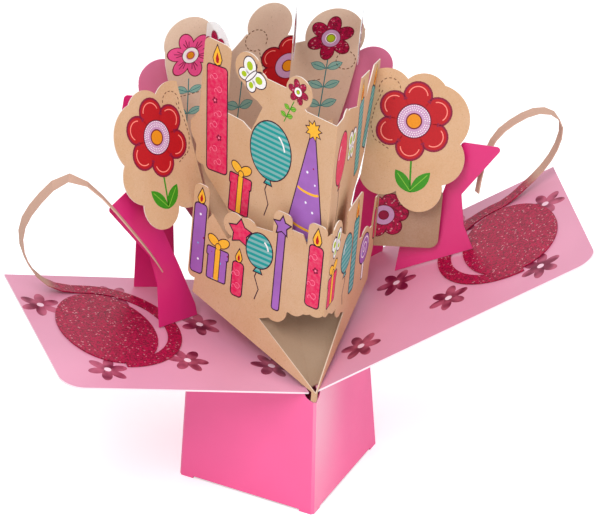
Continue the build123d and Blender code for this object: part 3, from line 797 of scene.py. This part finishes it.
def gift(sheet, left, foot, right, top, ink):
    """A wrapped box with a lid, a ribbon and a bow."""
    lid, middle = foot + (top - foot) * 0.74, (left + right) / 2
    sheet.edged(round_box(left + 0.7, foot, right - 0.7, lid, 0.7), ink)
    sheet.edged(round_box(left, lid, right, top, 0.7), ink)
    for half, tint, layer in ((1.6, "plum", 3), (1.2, "flame", 4)):
        sheet.lay(round_box(middle - half, foot + 0.1, middle + half, top - 0.1, 0.3), tint, layer)
    for turn in (30, 150):
        sheet.edged(moved(ring_points((3.0, 0), 3.2, 18, 0.6), (middle, top + 2.0), turn), "flame", edge=0.8)
    sheet.edged(ring_points((middle, top + 1.2), 1.3, 12), "flame", 3, 0.7)


def party_hat(sheet, middle, foot, top, width, ink):
    """A cone with curved bands and a tuft."""
    rim = arc_path((middle, foot + 1.0), width / 2, 180, 360, 12, 0.22)
    sheet.edged(rim + [(middle + 0.9, top), (middle - 0.9, top)], ink)
    for share in (0.2, 0.5):
        y, half = foot + (top - foot) * share, width / 2 * (1 - share) + 0.1
        sheet.line(arc_path((middle, y + 0.6), half, 180, 360, 10, 0.22), 1.1, "flame", 3)
    sheet.edged(star_points((middle, top + 1.2), 4.2, 9, 0.6), "flame", 2, 0.7)


def lollipop(sheet, centre, radius, foot, ink):
    x, y = centre
    sheet.edged(round_box(x - 1.1, foot, x + 1.1, y, 0.6), "white", edge=0.8)
    sheet.edged(ring_points(centre, radius, 30), ink, 2)
    curl = []
    for step in range(32):
        reach, angle = radius * (0.88 - 0.026 * step), 0.42 * step
        curl.append((x + reach * math.cos(angle), y + reach * math.sin(angle)))
    sheet.line(curl, 0.6, "white", 4)


def wand(sheet, centre, radius, foot, ink):
    """A star on a stick."""
    sheet.edged(round_box(centre[0] - 1.7, foot, centre[0] + 1.7, centre[1], 1.0), ink)
    sheet.edged(star_points(centre, radius, 5, 0.52), ink, 3)


def butterfly(sheet, centre, size, turn):
    """A white butterfly with lime spots."""
    wings = []
    for side, spin in ((1, 0), (-1, 180)):
        wings.append(((4.4 * side, 3.0), 4.8, 0.84, spin + 35 * side))
        wings.append(((3.4 * side, -3.4), 3.5, 0.86, spin - 40 * side))
    for spot, radius, roundness, spin in wings:
        wing = moved(ring_points(spot, radius, 24, roundness, spin), centre, turn, size / 9)
        sheet.edged(wing, "white", 2, 0.8)
    for spot, radius, roundness, spin in wings:
        wing = moved(ring_points(spot, radius * 0.5, 16, roundness, spin), centre, turn, size / 9)
        sheet.lay(wing, "lime", 5)
    for side in (-1, 1):
        feeler = [(0, 4.0), (side * 1.3, 6.8), (side * 2.8, 8.0)]
        sheet.line(moved(feeler, centre, turn, size / 9), 0.34, "plum", 5)
    sheet.edged(moved(ring_points((0, 0), 4.9, 16, 0.2, 90), centre, turn, size / 9), "white", 5, 0.7)


def dress(nodes, material):
    """Give carried-over sheets their finish."""
    for name in nodes:
        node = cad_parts[name]
        node.data.materials.clear()
        node.data.materials.append(material)


def outs_of(*faces):
    return [FACES[face].out for face in faces]


# Operators
class CARD_OT_inks(bpy.types.Operator):
    """Mix the inks and foils of the print"""

    bl_idname = "card.inks"
    bl_label = "Inks"

    def execute(self, context):
        colours, sizes = context.scene.card_colours, context.scene.card_sizes
        INKS.update({name: ink_finish(f"{name}_ink", rgb(*shown)) for name, shown in PLAIN_INKS.items()})
        INKS["crimson"] = crimson_finish(tuple(colours.crimson))
        INKS["teal"] = teal_finish(tuple(colours.teal))
        INKS["lilac"] = lilac_finish(tuple(colours.lilac))
        INKS["glitter"] = glitter_finish("glitter_print", tuple(colours.glitter), sizes.flakes)
        INKS["foil"] = foil_finish(tuple(colours.foil))
        return {"FINISHED"}


class CARD_OT_boards(bpy.types.Operator):
    """Colour the box, the covers, the tabs and the kraft sheets"""

    bl_idname = "card.boards"
    bl_label = "Boards"

    def execute(self, context):
        colours = context.scene.card_colours
        wall = Vector((FLOOR_HALF_DEPTH, FLOOR_HALF_WIDTH, 0)).normalized()
        walls = [wall, Vector((wall.x, -wall.y, 0))]
        # the front right wall of the box takes the painted sheen
        dress(["base_box"], board_finish("box_board", tuple(colours.box), walls, 0.4, 0.25, 0.35, walls[1]))
        for name in ("left", "right"):
            outs = outs_of(f"wing_{name}")
            cover = board_finish(f"{name}_cover_board", tuple(colours.cover), outs, 0.38, 0.2)
            dress([f"{name}_wing"], cover)
        level = [Vector((0, 0, 1))]
        struts = ["left_strut", "right_strut", "rear_left_strut", "rear_right_strut"]
        dress(struts, board_finish("strut_board", tuple(colours.strut), level, 0.36, 0.2, 0.0))
        dress(["rear_cover"], board_finish("rear_board", tuple(colours.rear), level, core=0.0))
        kraft = tuple(colours.kraft)
        for node, colour, *faces in (
            ("lower_banner", kraft, "lower_left", "lower_right"),
            ("upper_banner", kraft, "upper_left", "upper_right"),
            # painted light: the petals' kraft is set paler for the light that reaches them at the back
            ("petals", paler(kraft, 0.2), "petals_left", "petals_right"),
            ("left_scallop_panel", kraft, "scallop_left"),
            ("right_scallop_panel", kraft, "scallop_right"),
            # painted shade: the corner panel's kraft is set darker for the shade it stands in
            ("corner_panel", darker(kraft, 0.62), "corner"),
            ("kraft_core", kraft, "lower_left", "lower_right"),
        ):
            # painted shade deep in the bouquet, on the kraft core only
            painted_shade = 0.62 if node == "kraft_core" else 0.0
            dress([node], kraft_finish(f"{node}_kraft", colour, outs_of(*faces), painted_shade))
        dress(list(DISCS), film_finish())
        return {"FINISHED"}


class CARD_OT_spirals(bpy.types.Operator):
    """Finish the glitter spirals"""

    bl_idname = "card.spirals"
    bl_label = "Glitter spirals"

    def execute(self, context):
        for name in ("left", "right"):
            paper = spiral_finish(name, context.scene.card_colours, context.scene.card_sizes.flakes)
            dress([f"{name}_glitter_spiral"], paper)
        return {"FINISHED"}


class CARD_OT_upper_print(bpy.types.Operator):
    """Print the upper banner"""

    bl_idname = "card.upper_print"
    bl_label = "Upper banner print"

    def execute(self, context):
        left = Print("upper_left", least=0.0)
        candle(left, 63.2, 78.0, 134.5, 11.2, "crimson", tilt=-5.5)
        gift(left, 43.5, 64.0, 55.5, 81.0, "crimson")
        balloon(left, (34.3, 99.0), 11.3, "teal", 17)
        party_hat(left, 12.0, 62.0, 116.0, 22.5, "lilac")
        butterfly(left, (48.6, 128.1), 7.5, 40)
        sprig(left, (28.6, 115.0), (24.0, 126.0), (0.25, 0.6), 1.8, 3.4, "stem", "stem_pale")
        petal = (0.36, 0.72, 0.62)
        blossom(left, (22.2, 131.0), 5.6, "glitter", 4, 10, petal, ring=0.36, ring_ink="white", heart="lime")
        left.make("upper_left_print")
        right = Print("upper_right", least=0.0)
        balloon(right, (17.5, 101.0), 10.0, "crimson", 32)
        butterfly(right, (40.0, 97.0), 8.0, -14)
        candle(right, 57.5, 76.0, 119.0, 8.5, "teal", tilt=2)
        candle(right, 70.5, 82.0, 117.0, 8.0, "teal", tilt=-29)
        right.make("upper_right_print")
        return {"FINISHED"}


class CARD_OT_lower_print(bpy.types.Operator):
    """Print the lower banner"""

    bl_idname = "card.lower_print"
    bl_label = "Lower banner print"

    def execute(self, context):
        left = Print("lower_left", least=0.0)
        candle(left, 67.7, 33.5, 72.5, 6.0, "lilac", flame=7.0)
        gift(left, 51.5, 33.5, 62.5, 48.0, "lilac")
        left.edged(star_points((46.3, 60.2), 5.8, 5, 0.58), "crimson")
        candle(left, 45.8, 30.5, 52.0, 5.4, "crimson", flame=6.0)
        balloon(left, (35.5, 55.5), 6.8, "teal", 15)
        wand(left, (24.9, 71.2), 4.2, 32.0, "lilac")
        candle(left, 6.4, 40.5, 76.5, 6.8, "crimson", flame=8.0)
        left.make("lower_left_print")
        right = Print("lower_right", least=0.0)
        gift(right, 2.0, 40.5, 14.0, 54.0, "crimson")
        butterfly(right, (10.0, 67.6), 6.4, 14)
        balloon(right, (28.0, 55.0), 7.4, "teal", 16)
        candle(right, 40.6, 31.0, 73.5, 6.6, "teal", flame=8.0)
        lollipop(right, (57.5, 43.5), 6.6, 29.0, "lilac")
        candle(right, 72.6, 42.0, 60.8, 4.6, "crimson", flame=5.0)
        candle(right, 77.2, 47.8, 62.2, 4.2, "crimson", tilt=-24, flame=4.8)
        right.make("lower_right_print")
        return {"FINISHED"}


class CARD_OT_petal_print(bpy.types.Operator):
    """Print the three tall petals at the back"""

    bl_idname = "card.petal_print"
    bl_label = "Petal print"

    def execute(self, context):
        left = Print("petals_left", least=0.0)
        blossom(
            left, (47.0, 116.4), 10.5, "blossom", 1, 8, (0.4, 0.72, 0.6), ring=0.34, ring_ink="white",
            heart_ring="blossom_pale", rays=(-18, 0, 18),
        )
        sprig(left, (46.0, 80.0), (46.9, 105.5), (0.35, 0.75), 3.0, 6.5)
        sprig(left, (23.0, 74.0), (22.0, 104.0), (0.5,), 4.0, 6.5)
        blossom(left, (1.2, 106.4), 13.4, "red", 1, 30, heart_ring="bead_lilac", vein="red_pale")
        left.make("petals_left_print")
        rings = [((8.0, 94.0), 3.0), ((35.0, 91.0), 2.4)]
        lay_rings("petals_left_rings", "petals_left", rings, "trail", 0.4, 1.2)
        trails = [
            arc_path((33.0, 111.0), 7.0, 100, -120, 18) + [(40.0, 99.0), (52.0, 97.0)],
            arc_path((17.0, 120.0), 5.0, 200, -110, 18) + [(13.0, 107.0), (16.0, 101.0)],
        ]
        lay_trails("petals_left_trails", "petals_left", trails)
        right = Print("petals_right", least=0.0)
        sprig(right, (13.0, 60.0), (16.3, 112.0), (0.52, 0.69, 0.86), 3.4, 7.2)
        blossom(right, (16.6, 119.0), 10.0, "glitter", 2, 20, (0.38, 0.74, 0.62), ring=0.4, heart="lime")
        right.make("petals_right_print")
        trails = [
            arc_path((24.0, 108.5), 4.2, 130, 420, 16),
            [(1.5, 92.0), (3.5, 96.0), (7.0, 98.5), (13.0, 99.5)],
        ]
        lay_trails("petals_right_trails", "petals_right", trails)
        return {"FINISHED"}


class CARD_OT_side_print(bpy.types.Operator):
    """Print the large flowers of the side panels"""

    bl_idname = "card.side_print"
    bl_label = "Side panel print"

    def execute(self, context):
        radius, turn = 16.3, 30
        petal = (0.345, 1.0, 0.66)
        for name in ("scallop_left", "scallop_right"):
            panel = Print(name)
            panel.line([(1.0, -10), (1.6, -18), (2.4, -25), (3.2, -30)], 0.8, "stem")
            for tip in ((-4.6, -21.5), (10.4, -20.5)):
                panel.lay(leaf_points((3.2, -30.2), tip, 5.2), "stem", 1)
                panel.line([(3.0, -29.5), (tip[0] * 0.85 + 0.5, tip[1] - 1.3)], 0.3, "stem_pale", 2)
            blossom(panel, (0, 0), radius, "red", 2, turn, petal, heart_ring="bead_lilac", vein="red_pale")
            panel.make(f"{name}_print")
            rings = [((0, 0), reach) for reach in (6.7, 5.7, 4.8)]
            lay_rings(f"{name}_ring_beads", name, rings, "white", 0.5, 0.95, 7)
            edges = []
            for index, spot in enumerate(ring_points((0, 0), petal[2] * radius, 6, 1.0, turn)):
                edges.append(arc_path(spot, 0.362 * radius, 60 * index - 80, 60 * index + 140, 30))
            bead, sides = 0.95, 8
            lay_paths(f"{name}_edge_beads", name, edges, "scribble", bead, bead, bead, sides, 4)
            trails = [
                arc_path((-12.5, 12.0), 4.6, -60, 200, 16),
                [(-15.5, 10.4), (-17.4, 4.0), (-18.2, -4.0), (-15.8, -10.0), (-9.5, -13.0)],
            ]
            lay_trails(f"{name}_trails", name, trails)
        corner = Print("corner", least=11.0)
        inks = {"heart_ring": "bead_lilac", "heart": "scribble"}
        blossom(corner, (13.6, 14.8), 10.4, "glitter", 1, 10, ring=0.44, **inks)
        corner.make("corner_print")
        return {"FINISHED"}


class CARD_OT_foils(bpy.types.Operator):
    """Stamp the foil flowers on the two covers"""

    bl_idname = "card.foils"
    bl_label = "Foil flowers"

    def execute(self, context):
        sizes = context.scene.card_sizes
        spots = {
            "wing_left": ((102, 67), (66, 75.6), (87.5, 15), (49, 24), (34, 54), (12, 21)),
            "wing_right": ((26, 19), (68, 24.4), (50, 57), (109, 15), (122, 64), (84, 79)),
        }
        tree, eye_radius = foil_tree(INKS["foil"]), 1.55
        for name, places in spots.items():
            points = [(x * MM, y * MM, 0.0) for x, y in places]
            mesh = grow(tree, points, [], {"Reach": sizes.foil_reach, "Height": sizes.ink * 4})
            FACES[name].carry(mesh)
            add_piece(f"{name}_foils", mesh)
            eyes = Print(name)
            for place in places:
                eyes.lay(ring_points(place, eye_radius, 18), "cover_dot", 3)
            eyes.make(f"{name}_foil_eyes")
        return {"FINISHED"}


class CARD_OT_disc_print(bpy.types.Operator):
    """Put the glitter flowers on the clear discs"""

    bl_idname = "card.disc_print"
    bl_label = "Disc flowers"

    def execute(self, context):
        petal = (0.37, 0.78, 0.62)
        inks = {"rim": "scribble", "ring_ink": "white", "heart_ring": "white", "heart": "scribble"}
        for name in DISCS:
            for side in ("front", "back"):
                disc = Print(f"{name}_{side}")
                blossom(disc, (0, 0), 8.0, "glitter", 1, 12, petal, ring=0.38, **inks)
                disc.make(f"{name}_flower_{side}")
        return {"FINISHED"}


class CARD_OT_stage(bpy.types.Operator):
    """Place the floor, the lights, the world and the camera"""

    bl_idname = "card.stage"
    bl_label = "Stage"

    def camera(self, scene):
        """Look from the photo's place, which was found by fitting the card to it."""
        distance, lens_length, aim_right, aim_up = 2.5, 347.1, 9.38, 85.8
        right, up = Vector((0.954, -0.299, 0)), Vector((0.144, 0.460, 0.876))
        back = Vector((-0.262, -0.836, 0.482)).normalized()
        across = up.cross(back).normalized()
        aim = (right * aim_right + up * aim_up + Vector((0, BOX_MIDDLE, 0))) * MM
        lens = bpy.data.cameras.new("photo_camera")
        lens.sensor_width, lens.lens = 36.0, lens_length
        lens.clip_start, lens.clip_end = 0.1, 20.0
        eye = add_object("photo_camera", lens)
        basis = Matrix((across, back.cross(across), back)).transposed().to_4x4()
        eye.matrix_world = Matrix.Translation(aim + back * distance) @ basis
        scene.camera = eye

    def world(self, scene):
        """A studio light that the camera, mirrors and film see as plain white."""
        scene.world = bpy.data.worlds.new("studio")
        scene.world.use_nodes = True
        sky = Nodes(scene.world.node_tree)
        sky.tree.nodes.clear()
        seen = sky.node("ShaderNodeLightPath", output="Is Camera Ray")
        for ray in ("Is Glossy Ray", "Is Transmission Ray"):
            seen = seen.greater(sky.node("ShaderNodeLightPath", output=ray))
        light = sky.node("ShaderNodeBackground", {}, {0: (0.97, 0.98, 1.0), 1: 0.62})
        white = sky.node("ShaderNodeBackground", {}, {0: (1.0, 1.0, 1.0), 1: 1.0})
        mixed = sky.node("ShaderNodeMixShader", {}, {0: seen, 1: light, 2: white})
        sky.node("ShaderNodeOutputWorld", {}, {0: mixed})

    def lamps(self):
        for name, place, size, power in (
            ("key", (-0.5, -0.75, 1.1), 0.6, 9.6),
            ("fill", (0.95, -0.5, 0.6), 0.8, 3.6),
            ("top", (0.1, 0.1, 1.3), 0.9, 2.0),
        ):
            lamp = bpy.data.lights.new(name, "AREA")
            lamp.size, lamp.energy = size, power
            holder = add_object(name, lamp)
            holder.location = place
            aim = Vector((0, BOX_MIDDLE, 90.0)) * MM - Vector(place)
            holder.rotation_euler = aim.to_track_quat("-Z", "Y").to_euler()

    def floor(self):
        reach = 3.0
        corners = [(-reach, -reach, 0), (reach, -reach, 0), (reach, reach, 0), (-reach, reach, 0)]
        floor = add_object("floor", flat_mesh("floor", corners, faces=[(0, 1, 2, 3)]))
        paper = Finish("floor_paper", roughness=0.9, Base_Color=(0.9, 0.9, 0.9, 1.0), Emission_Strength=0.42)
        seen = paper.node("ShaderNodeLightPath", output="Is Camera Ray")
        paper.feed("Emission Color", paper.mix(seen, (0.0, 0.0, 0.0), (1.0, 1.0, 1.0)))
        floor.data.materials.append(paper.material)

    def execute(self, context):
        context.scene.view_settings.view_transform = "Standard"
        self.camera(context.scene)
        self.world(context.scene)
        self.lamps()
        self.floor()
        return {"FINISHED"}


STEPS = (
    CARD_OT_inks,
    CARD_OT_boards,
    CARD_OT_spirals,
    CARD_OT_upper_print,
    CARD_OT_lower_print,
    CARD_OT_petal_print,
    CARD_OT_side_print,
    CARD_OT_foils,
    CARD_OT_disc_print,
    CARD_OT_stage,
)


class CARD_PT_dresser(bpy.types.Panel):
    """The settings and the steps that dress the card, in order"""

    bl_idname = "CARD_PT_dresser"
    bl_label = "Card"
    bl_space_type = "VIEW_3D"
    bl_region_type = "UI"
    bl_category = "Card"

    def draw(self, context):
        for settings in (context.scene.card_colours, context.scene.card_sizes):
            for name in settings.__annotations__:
                self.layout.prop(settings, name)
        for step in STEPS:
            self.layout.operator(step.bl_idname)


CLASSES = (CARD_PG_colours, CARD_PG_sizes) + STEPS + (CARD_PT_dresser,)


def register():
    for item in CLASSES:
        bpy.utils.register_class(item)
    bpy.types.Scene.card_colours = bpy.props.PointerProperty(type=CARD_PG_colours)
    bpy.types.Scene.card_sizes = bpy.props.PointerProperty(type=CARD_PG_sizes)


def unregister():
    del bpy.types.Scene.card_colours
    del bpy.types.Scene.card_sizes
    for item in reversed(CLASSES):
        bpy.utils.unregister_class(item)


def main():
    register()
    for step in STEPS:
        getattr(bpy.ops.card, step.bl_idname.split(".")[1])()


if __name__ == "__main__":
    main()
